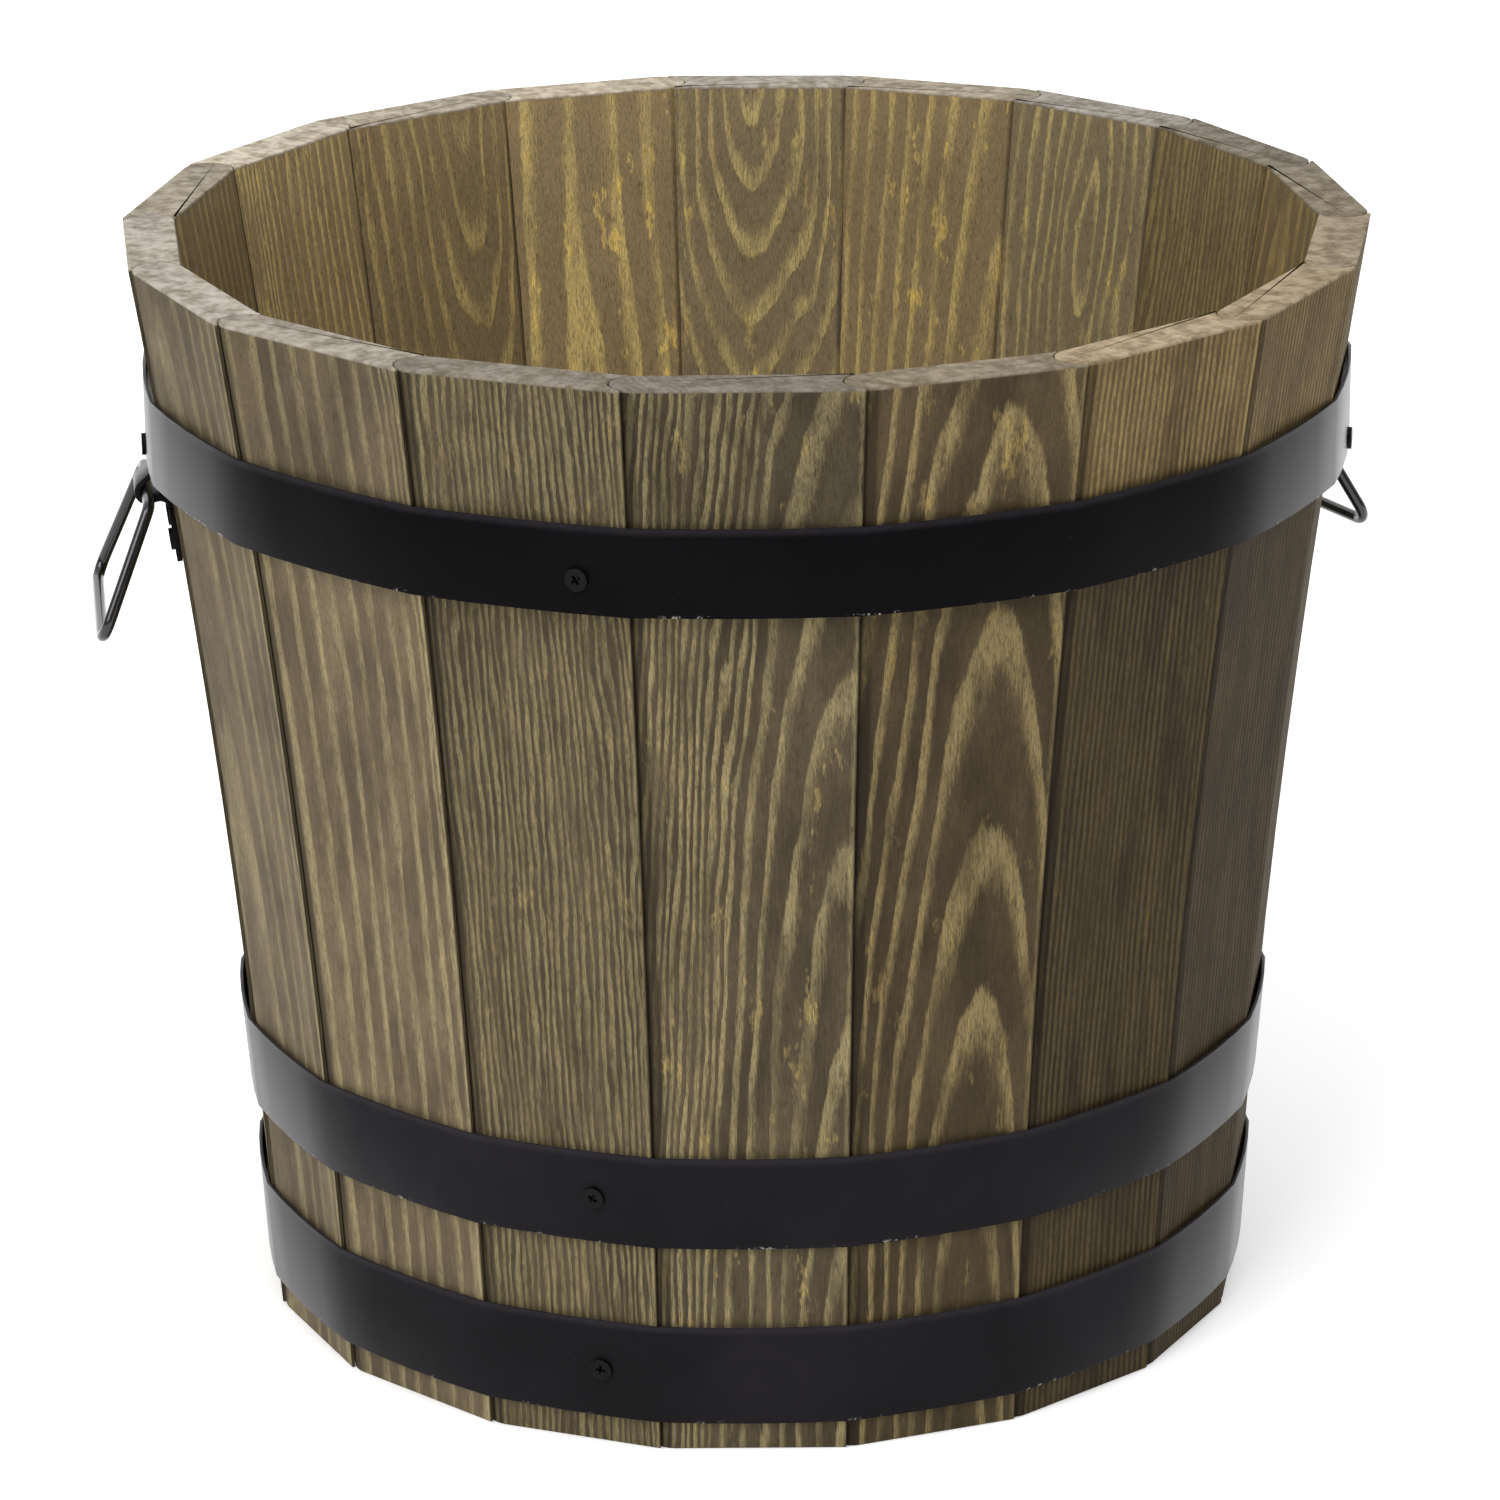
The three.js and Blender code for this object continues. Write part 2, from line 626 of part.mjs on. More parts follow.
function bailLine() {
  const start = new THREE.Vector2(ROD_END_GAP / 2, 0);
  const end = new THREE.Vector2(-ROD_END_GAP / 2, 0);
  const topRight = new THREE.Vector2(BAIL_TOP_HALF_WIDTH, 0);
  const bottomRight = new THREE.Vector2(BAIL_BOTTOM_HALF_WIDTH, -BAIL_DROP);
  const bottomLeft = new THREE.Vector2(-BAIL_BOTTOM_HALF_WIDTH, -BAIL_DROP);
  const topLeft = new THREE.Vector2(-BAIL_TOP_HALF_WIDTH, 0);
  const bends = [
    bendAt(start, topRight, bottomRight, BAIL_TOP_BEND),
    bendAt(topRight, bottomRight, bottomLeft, BAIL_BOTTOM_BEND),
    bendAt(bottomRight, bottomLeft, topLeft, BAIL_BOTTOM_BEND),
    bendAt(bottomLeft, topLeft, end, BAIL_TOP_BEND),
  ];
  const line = new THREE.CurvePath();
  let reached = start;
  for (const bend of bends) {
    line.add(new THREE.LineCurve(reached, bend.getPoint(0)));
    line.add(bend);
    reached = bend.getPoint(1);
  }
  line.add(new THREE.LineCurve(reached, end));
  return new RodLine(line);
}

function rodSection() {
  const corners = [];
  for (let i = 0; i < ROD_SIDES; i += 1) {
    corners.push(polar(ROD_RADIUS, 2 * Math.PI * i / ROD_SIDES));
  }
  return new THREE.Shape(corners);
}

function bailBody() {
  return new THREE.ExtrudeGeometry(rodSection(), { steps: ROD_STEPS, extrudePath: bailLine() });
}

// ---- Assembly ----

const planter = new THREE.Group();

function addPiece(name, geometry, material, parent = planter) {
  const mesh = new THREE.Mesh(geometry, material.clone());
  mesh.name = name;
  parent.add(mesh);
  return mesh;
}

function addScrews(name, places) {
  places.forEach((place, i) => {
    const screw = addPiece(`${name}_screw_${i + 1}`, screwBody(place.shankLength), blackBand);
    screw.applyMatrix4(place.matrix);
  });
}

const handles = [LEFT_HANDLE, RIGHT_HANDLE].map((handle) => {
  const placed = { ...handle, pivotHeight: TOP_HOOP_BOTTOM - handle.pivotDrop };
  return { ...placed, screws: leafScrews(placed) };
});
const wallScrews = [...hoops, ...handles].flatMap((holder) => holder.screws);

// Staves, each turned to its place, with the base groove and its own screw holes cut in place
staves.forEach((stave, i) => {
  const next = staves[(i + 1) % staves.length];
  const blank = staveBlank(stave, next).rotateZ(stave.facing);
  const ownScrews = wallScrews.filter((screw) => screw.stave === stave);
  const name = `stave_${String(i + 1).padStart(2, '0')}`;
  addPiece(name, cut(blank, [baseGroove, ...holesFor(ownScrews)]), stainedPine);
});

// Base boards side by side
for (let i = 0; i < BOARD_COUNT; i += 1) {
  const holes = battens.flatMap((batten) => holesFor([batten.screws[i]]));
  addPiece(`base_board_${i + 1}`, cut(boardBlank(i), holes), rawPine);
}

// Battens across the boards' undersides, with a screw up into each board
for (const batten of battens) {
  addPiece(batten.name, cut(battenBlank(batten.y), holesFor(batten.screws)), rawPine);
  addScrews(batten.name, batten.screws);
}

// Hoops with their overlapped ends and their screws
for (const hoop of hoops) {
  const band = toGeometry(toSolid(bandBlank(hoop)).add(toSolid(lapBlank(hoop))));
  addPiece(hoop.name, cut(band, holesFor(hoop.screws)), blackBand);
  addScrews(hoop.name, hoop.screws);
}

// A bracket, its two leaf screws and its bail on each side
for (const handle of handles) {
  const points = bracketPoints(handle);
  const throughHoop = hoops[0].screws.filter((screw) => screw.stave === points.stave);
  const holes = holesFor([...handle.screws, ...throughHoop]);
  addPiece(`bracket_${handle.name}`, cut(bracketBlank(handle), holes), blackBand);
  addScrews(`bracket_${handle.name}`, handle.screws);

  const side = new THREE.Group();
  side.rotation.z = points.stave.facing;
  planter.add(side);
  const bail = addPiece(`bail_${handle.name}`, bailBody(), blackRod, side);
  bail.position.set(points.pivot.x, handle.along, points.pivot.y);
  bail.rotation.y = -radians(handle.leanDeg);
}

export default planter;
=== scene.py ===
import json
from math import atan2, cos, pi, radians, sin, sqrt, tan

import bmesh
import bpy
from mathutils import Matrix, Vector

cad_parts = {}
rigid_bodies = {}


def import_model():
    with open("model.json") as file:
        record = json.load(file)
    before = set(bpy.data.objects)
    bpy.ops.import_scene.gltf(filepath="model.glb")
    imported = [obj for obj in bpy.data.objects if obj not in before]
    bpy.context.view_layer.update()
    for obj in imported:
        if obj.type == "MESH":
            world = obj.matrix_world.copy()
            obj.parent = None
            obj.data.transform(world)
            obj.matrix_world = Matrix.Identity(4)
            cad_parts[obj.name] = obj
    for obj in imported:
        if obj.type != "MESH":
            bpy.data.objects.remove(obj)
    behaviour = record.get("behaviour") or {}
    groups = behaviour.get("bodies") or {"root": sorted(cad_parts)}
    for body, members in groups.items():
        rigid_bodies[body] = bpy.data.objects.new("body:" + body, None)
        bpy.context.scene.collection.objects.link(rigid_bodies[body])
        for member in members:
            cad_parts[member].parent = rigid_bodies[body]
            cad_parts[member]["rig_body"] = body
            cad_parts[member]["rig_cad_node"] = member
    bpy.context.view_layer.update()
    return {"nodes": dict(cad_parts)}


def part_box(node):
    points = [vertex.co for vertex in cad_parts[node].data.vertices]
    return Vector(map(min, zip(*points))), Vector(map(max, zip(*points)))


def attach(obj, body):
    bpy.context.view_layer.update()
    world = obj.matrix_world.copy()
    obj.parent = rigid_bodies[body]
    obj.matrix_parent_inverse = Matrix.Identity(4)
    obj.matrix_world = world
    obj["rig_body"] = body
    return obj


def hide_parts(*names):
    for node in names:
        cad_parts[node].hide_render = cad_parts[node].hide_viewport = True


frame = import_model()
MM = 0.001


# ---- Staves ----
# Eighteen softwood boards, planed, stained brown and set side by side in a flared ring. Each is cut
# with a half-round bead down its left edge and a cove down its right, and leans out with the wall.

HEIGHT = 401 * MM
RIM_RADIUS = 225 * MM
FOOT_RADIUS = 182.5 * MM
HOLLOW = 5.3 * MM
THICKNESS = 18.5 * MM
BEAD_INSET = 5.5 * MM
BEAD_GAP = 0.3 * MM
RIM_WIDTHS = [72, 81, 87, 80, 81, 79, 81, 79, 74, 79, 78, 75, 75, 73, 74, 79, 78, 80]
FIRST_JOINT = radians(177.3)
WALL_LEVELS = 12
EDGE_FACETS = 14
RIM_EASE = 0.7 * MM
NEAR = 0.1 * MM


def corner_radius(z):
    """Distance from the axis to the outside corners between staves, at a height."""
    share = z / HEIGHT
    cone = FOOT_RADIUS + (RIM_RADIUS - FOOT_RADIUS) * share
    return cone - 4 * HOLLOW * share * (1 - share)


def lay_out_boards():
    """Each board's half angle at the axis and the direction it faces."""
    boards = []
    joint = FIRST_JOINT
    for width in RIM_WIDTHS:
        half = pi * width / sum(RIM_WIDTHS)
        boards.append({"half": half, "facing": joint + half})
        joint += 2 * half
    return boards


boards = lay_out_boards()


def deselect():
    if bpy.context.object and bpy.context.object.mode == "EDIT":
        bpy.ops.object.mode_set(mode="OBJECT")
    bpy.ops.object.select_all(action="DESELECT")


def pick(piece, kind, wanted):
    """Selects the piece's vertices, edges or faces whose middle passes the test, in edit mode."""
    mesh = bmesh.from_edit_mesh(piece.data)
    for part in (*mesh.verts, *mesh.edges, *mesh.faces):
        part.select = False
    for part in getattr(mesh, kind):
        corners = [part.co] if kind == "verts" else [v.co for v in part.verts]
        if wanted(sum(corners, Vector()) / len(corners), part):
            part.select = True
    mesh.select_flush(True)
    bmesh.update_edit_mesh(piece.data)


def edit(modes="VERT"):
    bpy.ops.object.mode_set(mode="EDIT")
    bpy.ops.mesh.select_mode(type=modes)


def settle(piece, name, body, *nodes):
    """Names a finished piece, puts its place in its mesh and lets it ride on its body."""
    if piece.mode == "EDIT":
        bpy.ops.object.mode_set(mode="OBJECT")
    deselect()
    piece.select_set(True)
    bpy.context.view_layer.objects.active = piece
    bpy.ops.object.transform_apply(location=True, rotation=True, scale=True)
    piece.name = name
    piece.data.name = name
    if nodes:
        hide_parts(*nodes)
    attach(piece, body)
    return piece


def apply_modifier(piece, kind, **settings):
    modifier = piece.modifiers.new(kind.title(), kind)
    for setting, value in settings.items():
        setattr(modifier, setting, value)
    bpy.context.view_layer.objects.active = piece
    bpy.ops.object.modifier_apply(modifier=modifier.name)


def bead_centre(board):
    """Centre of a board's half-round edge in its own frame, x out of the planter, y along it."""
    x = RIM_RADIUS * cos(board["half"]) - THICKNESS / 2
    y = BEAD_INSET - RIM_RADIUS * sin(board["half"])
    return Vector((x, y, 0))


def make_stave(board, following, name):
    half = board["half"]
    outer_x = RIM_RADIUS * cos(half)
    right_y = RIM_RADIUS * sin(half)
    bead = bead_centre(board)
    left_y = bead.y - THICKNESS / 2

    deselect()
    middle = (outer_x - THICKNESS / 2, (left_y + right_y) / 2, 0)
    bpy.ops.mesh.primitive_plane_add(size=1, location=middle)
    stave = bpy.context.object
    stave.scale = (THICKNESS, right_y - left_y, 1)
    bpy.ops.object.transform_apply(location=True, rotation=True, scale=True)

    # the bead, the plank's length and the joint plane on its right
    edit()
    pick(stave, "verts", lambda place, _: place.y < 0)
    bpy.ops.mesh.bevel(offset=THICKNESS / 2 * 0.999, segments=EDGE_FACETS // 2, affect="VERTICES")
    bpy.ops.mesh.select_all(action="SELECT")
    bpy.ops.mesh.extrude_region_move(TRANSFORM_OT_translate={"value": (0, 0, HEIGHT)})
    bpy.ops.mesh.select_all(action="SELECT")
    bpy.ops.mesh.normals_make_consistent(inside=False)
    bpy.ops.mesh.select_all(action="SELECT")
    bpy.ops.mesh.bisect(plane_co=(0, 0, 0), plane_no=(-sin(half), cos(half), 0),
                        use_fill=True, clear_outer=True)
    bpy.ops.object.mode_set(mode="OBJECT")

    # the cove, cut by a rod where the next board's bead lies
    cove = bead_centre(following)
    cove.rotate(Matrix.Rotation(half + following["half"], 3, "Z"))
    bpy.ops.object.select_all(action="DESELECT")
    bpy.ops.mesh.primitive_cylinder_add(
        vertices=2 * EDGE_FACETS, radius=THICKNESS / 2 + BEAD_GAP, depth=1.2 * HEIGHT,
        location=(cove.x, cove.y, HEIGHT / 2))
    rod = bpy.context.object
    apply_modifier(stave, "BOOLEAN", operation="DIFFERENCE", solver="EXACT", object=rod)
    bpy.data.objects.remove(rod)

    # levels up the wall, each slid in along the joint planes
    stave.select_set(True)
    edit()
    for level in range(1, WALL_LEVELS):
        bpy.ops.mesh.select_all(action="SELECT")
        bpy.ops.mesh.bisect(plane_co=(0, 0, HEIGHT * level / WALL_LEVELS), plane_no=(0, 0, 1))
    for level in range(WALL_LEVELS):
        z = HEIGHT * level / WALL_LEVELS
        slide = RIM_RADIUS - corner_radius(z)
        for side in (-1, 1):
            pick(stave, "verts",
                 lambda place, _: abs(place.z - z) < NEAR and place.y * side > 0)
            bpy.ops.transform.translate(value=(-slide * cos(half), -side * slide * sin(half), 0))

    # the rim's and foot's sharp edges, eased with sandpaper
    bpy.ops.mesh.select_mode(type="EDGE")
    pick(stave, "edges", lambda place, edge: (
        min(v.co.z for v in edge.verts) > HEIGHT - NEAR
        or max(v.co.z for v in edge.verts) < NEAR
    ) and len(edge.link_faces) == 2 and edge.calc_face_angle() > 1)
    bpy.ops.mesh.bevel(offset=RIM_EASE, segments=2, affect="EDGES")
    bpy.ops.object.mode_set(mode="OBJECT")
    bpy.ops.object.shade_smooth_by_angle(angle=radians(32))
    stave.rotation_euler.z = board["facing"]
    return settle(stave, name, "planter")


class Finish:
    """A value in a material's nodes. Arithmetic on it adds Math nodes."""

    def __init__(self, tree, socket=None):
        self.tree = tree
        self.socket = socket

    def add(self, kind, settings=None, sockets=None, output=0):
        """Adds a node: its settings first, then the values or links of its sockets."""
        node = self.tree.nodes.new(kind)
        for setting, value in (settings or {}).items():
            setattr(node, setting, value)
        for socket, value in (sockets or {}).items():
            if isinstance(value, Finish):
                self.tree.links.new(value.socket, node.inputs[socket])
            else:
                node.inputs[socket].default_value = value
        return Finish(self.tree, node.outputs[output])

    def maths(self, operation, *values):
        return self.add("ShaderNodeMath", {"operation": operation}, dict(enumerate(values)))

    def __add__(self, other):
        return self.maths("ADD", self, other)

    def __sub__(self, other):
        return self.maths("SUBTRACT", self, other)

    def __rsub__(self, other):
        return self.maths("SUBTRACT", other, self)

    def __mul__(self, other):
        return self.maths("MULTIPLY", self, other)

    def __truediv__(self, other):
        return self.maths("DIVIDE", self, other)

    __radd__ = __add__
    __rmul__ = __mul__

    def root(self):
        return self.maths("SQRT", self)

    def fract(self):
        return self.maths("FRACT", self)

    def above(self, least):
        return self.maths("MAXIMUM", self, least)

    def clamped(self):
        return self.add("ShaderNodeClamp", None, {"Value": self})

    def between(self, low, high):
        """0 below low, 1 above high and a smooth rise between them."""
        return self.add("ShaderNodeMapRange", {"interpolation_type": "SMOOTHSTEP"},
                        {"Value": self, "From Min": low, "From Max": high})

    def noise(self, scale, detail, roughness):
        """Noise, about 0.5 on average, at this value used as a place."""
        return self.add("ShaderNodeTexNoise", None, {
            "Vector": self, "Scale": scale, "Detail": detail, "Roughness": roughness})

    def mixed(self, first, second):
        """Colour mix from first to second by this value."""
        return self.add("ShaderNodeMix", {"data_type": "RGBA"}, {0: self, 6: first, 7: second}, 2)


def new_finish(name):
    """An empty material, its nodes ready to be added and its surface shader."""
    material = bpy.data.materials.new(name)
    material.use_nodes = True
    return material, Finish(material.node_tree), material.node_tree.nodes["Principled BSDF"]


def colour(red, green, blue):
    """A colour as seen, 0 to 255, turned to the linear values that shaders use."""
    seen = [c / 255 for c in (red, green, blue)]
    linear = [c / 12.92 if c <= 0.04045 else ((c + 0.055) / 1.055) ** 2.4 for c in seen]
    return (*linear, 1)


def link(finish, value, shader, socket):
    finish.tree.links.new(value.socket, shader.inputs[socket])


# How each board was sawn from its log, in millimetres: how far behind its outer face and how far to
# its right the pith lies at the foot, how fast the pith moves away up the board, the spacing of the
# rings, and how far from the pith they turn fine. Then how wavy the grain is, how strongly the stain
# shows it, how many golden patches it has, the board's tone below and above the top hoop, and how
# far its brown has turned grey. The two tones are part stain and part painted light and shade: the
# boards facing the front left, toward the key light, are made lighter, and those on the right darker
# below the top hoop.
SAWN_COLUMNS = ("deep", "right", "away", "ring", "fine", "wave", "show", "gold", "tone_and_shade", "top", "grey")
SAWN_BOARDS = [
    (40, 30, 0.05, 6.0, 55, 1.0, 0.30, 0.1, 1.75, 1.50, 1.35),
    (30, -20, 0.04, 6.5, 80, 1.6, 0.30, 0.1, 1.70, 1.50, 1.35),
    (16, -52, 0.03, 8.0, 90, 1.7, 0.40, 0.1, 1.75, 1.28, 1.30),
    (10, -62, 0.03, 3.4, 20, 1.9, 0.70, 0.3, 0.97, 0.92, 1.25),
    (7.7, 38, 0.1, 6.2, 52, 1.3, 0.95, 0.6, 1.02, 0.78, 1.25),
    (8.2, 13, 0.086, 6.0, 90, 1.1, 1.15, 0.5, 0.82, 0.95, 1.05),
    (12, 80, 0.01, 2.8, 20, 0.6, 0.5, 0.2, 0.47, 1.40, 0.90),
    (10, 75, 0.01, 3.0, 20, 0.6, 0.4, 0.1, 0.47, 1.25, 0.90),
    (20, -60, 0.03, 5.0, 60, 1.0, 0.6, 0.2, 0.60, 1.10, 1.00),
    (16, 5, 0.07, 6.5, 60, 1.0, 0.9, 0.4, 0.75, 0.85, 1.10),
    (60, 60, -0.03, 4.0, 40, 1.5, 0.7, 0.2, 0.74, 0.74, 1.20),
    (75, -6, -0.16, 5.5, 90, 1.8, 1.0, 0.5, 1.12, 1.12, 1.40),
    (20, -34, 0.07, 6.5, 90, 1.5, 0.9, 0.8, 1.35, 1.35, 1.18),
    (116, 2, -0.24, 6.0, 120, 2.0, 1.0, 0.6, 1.32, 1.32, 1.35),
    (22, 8, 0.02, 12.0, 90, 1.6, 1.0, 0.9, 1.85, 1.85, 1.20),
    (90, -14, -0.17, 6.0, 120, 2.0, 0.9, 0.3, 1.50, 1.50, 1.22),
    (10, -70, 0.01, 4.6, 90, 1.2, 0.8, 0.5, 1.95, 1.95, 1.25),
    (26, 44, 0.03, 6.0, 90, 1.0, 0.6, 0.3, 1.25, 1.25, 1.20),
]
SAWN = [dict(zip(SAWN_COLUMNS, board)) for board in SAWN_BOARDS]
FINE_RING = 2.7  # spacing of the fine rings, in millimetres
TOP_HOOP_MIDDLE = 336  # height, in millimetres

STAIN_DARK = colour(60, 49, 34)
STAIN_BODY = colour(98, 83, 58)
RING_LIGHT = colour(160, 141, 95)
RING_GOLD = colour(180, 150, 78)
INNER_BODY = colour(130, 109, 72)
END_DARK = colour(108, 96, 76)
END_GRAIN = colour(160, 147, 126)
JOINT_STAIN_AND_SHADE = colour(30, 22, 13)


def stave_finish(board, sawn, number):
    """Brown stain over softwood, which takes it between the rings and leaves them light."""
    material, wood, shader = new_finish(f"stained_stave_{number:02d}")
    mm = 1 / MM
    place = wood.add("ShaderNodeTexCoord", output=3)
    turned = wood.add("ShaderNodeMapping", None, {
        "Vector": place, "Rotation": (0, 0, -board["facing"]), "Scale": (mm, mm, mm)})
    split = wood.add("ShaderNodeSeparateXYZ", None, {0: turned})
    x, y, z = (Finish(split.tree, split.socket.node.outputs[i]) for i in range(3))

    # depth behind the outer face of the leaning board
    foot_face = FOOT_RADIUS * cos(board["half"]) * mm
    rim_face = RIM_RADIUS * cos(board["half"]) * mm
    share = z / (HEIGHT * mm)
    hollow = share * (1 - share) * (4 * HOLLOW * mm)
    depth = foot_face + share * (rim_face - foot_face) - hollow - x

    # the grain's slow wander along the board, its quick waver across it and its fibres
    own = 37.0 * number
    wander_place = wood.add("ShaderNodeCombineXYZ", None, {0: x + own, 1: y, 2: z * 0.16})
    wander = (wander_place.noise(0.03, 3.0, 0.55) - 0.5) * (9.0 * sawn["wave"])
    waver_place = wood.add("ShaderNodeCombineXYZ", None, {0: x + own, 1: y * 1.4, 2: z * 0.10})
    waver = (waver_place.noise(0.22, 3.0, 0.6) - 0.5) * (1.8 * sawn["wave"])
    fibre_place = wood.add("ShaderNodeCombineXYZ", None, {0: x + own, 1: y, 2: z * 0.02})
    fibre = fibre_place.noise(1.3, 3.0, 0.7)
    fine_place = wood.add("ShaderNodeCombineXYZ", None, {0: x + own, 1: y, 2: z * 0.05})
    fine = fine_place.noise(3.2, 2.0, 0.6)
    blotch_place = wood.add("ShaderNodeCombineXYZ", None, {0: x + own, 1: y, 2: z * 0.35})
    blotch = blotch_place.noise(0.05, 4.0, 0.6)
    torn_place = wood.add("ShaderNodeCombineXYZ", None, {0: x + own, 1: y, 2: z * 0.3})
    torn = torn_place.noise(0.5, 3.0, 0.7)

    # distance from the pith, counted in rings
    across = y - sawn["right"] + wander + waver
    behind = depth - sawn["deep"] - z * sawn["away"] + wander * 0.6
    from_pith = (across * across + behind * behind).root()
    slow = (from_pith - sawn["fine"]).above(0.0)
    rings = from_pith / sawn["ring"] + slow * (1 / FINE_RING - 1 / sawn["ring"])
    phase = (rings + (fibre - 0.5) * 0.22 + (torn - 0.5) * 0.12).fract()

    # late wood: a light band, sharp on its outer side, that the stain takes unevenly; it fills half of
    # a fine ring and less of a coarse one
    coarse = 1 - (from_pith - sawn["fine"]).between(-8.0, 4.0)
    band = (phase - coarse * 0.2).between(0.3, 0.62) * (1 - phase.between(0.93, 1.0))
    taken = wander_place.noise(0.11, 3.0, 0.6).between(0.3, 0.62)
    streaky = fibre.between(0.25, 0.55) * 0.5 + 0.5
    late = (band * (taken * 0.8 + 0.2) * streaky * sawn["show"]).clamped()
    patch = blotch_place.noise(0.09, 4.0, 0.7).between(0.6, 0.66)
    patch = patch * fibre.between(0.3, 0.5) * sawn["gold"]

    inside = depth.between(THICKNESS * mm * 0.6, THICKNESS * mm * 0.8)
    uneven = blotch.between(0.3, 0.7) * 0.7 + fibre.between(0.3, 0.75) * 0.3
    body = uneven.mixed(STAIN_DARK, STAIN_BODY)
    body = (inside * 0.6).mixed(body, INNER_BODY)
    gold = (inside * 0.5 + patch + torn.between(0.5, 0.7) * (0.4 * sawn["gold"])).clamped()
    light = gold.mixed(RING_LIGHT, RING_GOLD)
    face = (late * 0.9 + patch * 0.75).clamped().mixed(body, light)
    face = ((1 - fine.between(0.34, 0.56)) * 0.5).mixed(face, STAIN_DARK)
    face = ((1 - torn.between(0.28, 0.46)) * 0.45).mixed(face, STAIN_DARK)

    # end grain at the rim, paler and rubbed
    end = z.between(HEIGHT * mm - 1.4, HEIGHT * mm - 0.5)
    rub_place = wood.add("ShaderNodeCombineXYZ", None, {0: x + own, 1: y, 2: z * 0.1})
    rub = rub_place.noise(0.16, 5.0, 0.65)
    end_colour = rub.between(0.3, 0.66).mixed(END_DARK, END_GRAIN)
    end_colour = (late * 0.4).mixed(end_colour, STAIN_BODY)
    face = (end * 0.9).mixed(face, end_colour)

    # stain gathered in the joints, painted shade over the bead's round beside each joint, and stain
    # rubbed off the sharp edge over the cove
    corner = FOOT_RADIUS + share * (RIM_RADIUS - FOOT_RADIUS) - hollow * MM
    half_width = corner * (sin(board["half"]) * mm)
    left_edge = half_width + y
    right_edge = half_width - y
    rubbed = (1 - right_edge.between(0.9, 2.4)) * fibre.between(0.35, 0.55) * (1 - inside) * 0.35
    face = rubbed.clamped().mixed(face, RING_LIGHT)
    # painted shade over the bead's round, some 5 mm wide beside each joint, on top of the stain in the
    # joint itself
    joint = (1 - left_edge.between(0.8, 2.0)) * 0.3 + (1 - left_edge.between(3.8, 5.4)) * 0.7
    joint = joint + (1 - right_edge.between(0.0, 0.9)) * 0.9
    joint = joint.clamped() * (1 - end * 0.85) * (fibre * 0.4 + 0.75)
    face = (joint.clamped() * 0.9).mixed(face, JOINT_STAIN_AND_SHADE)

    # the board's tone, part stain and part painted light and shade, changes behind the top hoop
    above = z.between(TOP_HOOP_MIDDLE - 6, TOP_HOOP_MIDDLE + 6)
    tone_and_shade = above * (sawn["top"] - sawn["tone_and_shade"]) + sawn["tone_and_shade"]
    greyed = wood.add("ShaderNodeVectorMath", {"operation": "MULTIPLY"},
                      {0: face, 1: (1, 0.7 + 0.3 * sawn["grey"], sawn["grey"])})
    toned_and_shaded = wood.add("ShaderNodeVectorMath", {"operation": "SCALE"}, {"Vector": greyed, "Scale": tone_and_shade})
    link(wood, toned_and_shaded, shader, "Base Color")
    rough = 0.62 + fine * 0.18 - late * 0.08
    link(wood, rough, shader, "Roughness")
    height = late * 0.6 + fibre * 0.55 + fine * 0.45 + torn * 0.25 + rub * end * 0.6
    bump = wood.add("ShaderNodeBump", None, {"Strength": 1.0, "Distance": 0.45 * MM, "Height": height})
    link(wood, bump, shader, "Normal")
    shader.inputs["Specular IOR Level"].default_value = 0.12
    return material


for index, board in enumerate(boards):
    name = f"stave_{index + 1:02d}"
    stave = make_stave(board, boards[(index + 1) % len(boards)], "stained_" + name)
    stave.data.materials.append(stave_finish(board, SAWN[index], index + 1))
    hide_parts(name)


# ---- Base boards and battens ----
# Four boards of plain pine cut to a disc and let into a groove round the staves, with gaps between
# them for water, and two battens screwed across underneath.


def plain_pine():
    material, wood, shader = new_finish("plain_pine")
    place = wood.add("ShaderNodeTexCoord", output=3)
    stretched = wood.add("ShaderNodeMapping", None, {"Vector": place, "Scale": (1, 0.06, 1)})
    streak = stretched.noise(260.0, 4.0, 0.6)
    cloud = place.noise(14.0, 3.0, 0.5)
    face = streak.between(0.3, 0.7).mixed(colour(112, 92, 64), colour(164, 138, 96))
    face = (cloud * 0.5).mixed(face, colour(120, 104, 78))
    link(wood, face, shader, "Base Color")
    link(wood, 0.68 + streak * 0.2, shader, "Roughness")
    bump = wood.add("ShaderNodeBump", None, {"Distance": 0.3 * MM, "Height": streak})
    link(wood, bump, shader, "Normal")
    return material


def softened_copy(node, name, body, material, width, segments=2):
    """A copy of a sawn or pressed piece, its corners eased and its faces smoothed."""
    deselect()
    piece = frame["nodes"][node].copy()
    piece.data = piece.data.copy()
    bpy.context.scene.collection.objects.link(piece)
    piece.parent = None
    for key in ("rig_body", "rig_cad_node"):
        if key in piece:
            del piece[key]
    piece.select_set(True)
    bpy.context.view_layer.objects.active = piece
    edit()
    bpy.ops.mesh.select_all(action="SELECT")
    bpy.ops.mesh.remove_doubles(threshold=0.01 * MM)
    bpy.ops.mesh.select_all(action="SELECT")
    bpy.ops.mesh.dissolve_limited(angle_limit=radians(0.5))
    bpy.ops.object.mode_set(mode="OBJECT")
    apply_modifier(piece, "BEVEL", width=width, segments=segments, limit_method="ANGLE",
                   angle_limit=radians(50), miter_outer="MITER_ARC")
    bpy.ops.object.shade_smooth_by_angle(angle=radians(30))
    piece.data.materials.clear()
    piece.data.materials.append(material)
    settle(piece, name, body, node)
    return piece


pine = plain_pine()
for node in [f"base_board_{i + 1}" for i in range(4)] + ["batten_front", "batten_back"]:
    softened_copy(node, "sawn_" + node, "planter", pine, 0.6 * MM)


# ---- Hoops ----
# Three bands of flat black-coated steel, pressed on from below until their top edges bite, their
# ends overlapped at the back. The coating is satin, and chipped to pale specks at the lower edges.


